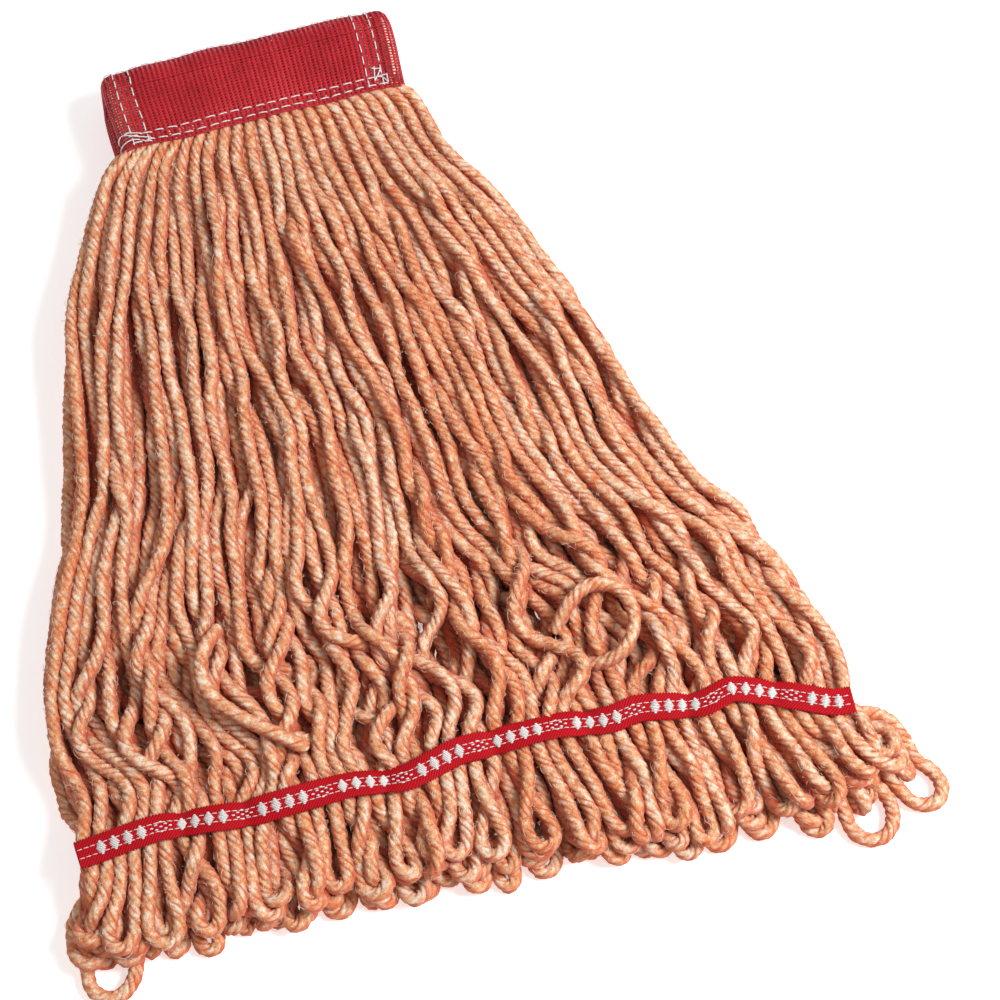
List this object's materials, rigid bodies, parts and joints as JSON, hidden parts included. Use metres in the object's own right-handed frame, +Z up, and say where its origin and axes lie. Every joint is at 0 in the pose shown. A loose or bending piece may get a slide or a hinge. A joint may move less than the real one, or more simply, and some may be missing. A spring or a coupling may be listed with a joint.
{
  "type": "string mop head",
  "caption": "Looped-end wet mop head: soft twisted yarn sewn into a wide mesh headband that folds over a clamp bar, with a woven tape across the tail.",
  "frame": {"origin": "on the floor under the centre of the folded mop head's box, stray loops left out", "axes": "+X along the headband, +Y from the looped ends to the headband's fold, +Z up"},
  "size_m": [0.4256, 0.5103, 0.0376],
  "materials": {
    "yarn": "matte, fuzzy four-ply twisted blend yarn, heathered orange",
    "headband_mesh": "vinyl-coated open mesh, slightly glossy red",
    "tail_tape": "woven twill tape, deep red",
    "white_thread": "white sewing and brocade thread"
  },
  "bodies": {
    "lower_half": {"lower_headband_mesh": "headband_mesh", "lower_headband_yarn": "yarn", "lower_band_edge_seam": "white_thread", "lower_band_end_seams": "white_thread", "lower_yarn_1": "yarn", "lower_yarn_2": "yarn", "lower_yarn_3": "yarn", "lower_yarn_4": "yarn", "lower_yarn_5": "yarn", "lower_yarn_6": "yarn", "lower_yarn_7": "yarn", "lower_yarn_8": "yarn", "lower_tail_tape_top": "tail_tape", "lower_tail_tape_floor": "tail_tape", "stray_strand_left": "yarn", "stray_loop_left": "yarn", "stray_loop_right": "yarn"},
    "headband_fold": {"fold_mesh": "headband_mesh", "fold_yarn": "yarn", "fold_seam": "white_thread"},
    "upper_headband": {"upper_headband_mesh": "headband_mesh", "upper_headband_yarn": "yarn", "upper_band_edge_seam": "white_thread", "upper_band_end_seams": "white_thread", "left_backtack": "white_thread", "right_backtack": "white_thread"},
    "upper_yarn": {"upper_yarn_1": "yarn", "upper_yarn_2": "yarn", "upper_yarn_3": "yarn", "upper_yarn_4": "yarn", "upper_yarn_5": "yarn", "upper_yarn_6": "yarn", "upper_yarn_7": "yarn", "upper_yarn_8": "yarn", "upper_tail_tape_top": "tail_tape", "upper_tail_tape_under": "tail_tape", "upper_tail_stitching": "white_thread", "tape_end_loop": "yarn", "slack_loop_left": "yarn", "slack_loop_right": "yarn"}
  },
  "joints": [
    {"name": "headband_fold_lower", "type": "hinge", "parent": "lower_half", "child": "headband_fold", "pos_m": [0, 0.2411, 0.0044], "axis": [-1, 0, 0], "range_deg": [0, 90], "deforming": ["fold_mesh", "fold_yarn", "fold_seam"]},
    {"name": "headband_fold_upper", "type": "hinge", "parent": "headband_fold", "child": "upper_headband", "pos_m": [0, 0.2411, 0.0326], "axis": [-1, 0, 0], "range_deg": [0, 90]},
    {"name": "upper_yarn_lift", "type": "hinge", "parent": "upper_headband", "child": "upper_yarn", "pos_m": [0, 0.189, 0.03705], "axis": [1, 0, 0], "range_deg": [-120, 0]}
  ],
  "couplings": [
    {"joint": "headband_fold_upper", "follows": "headband_fold_lower", "ratio": 1}
  ]
}
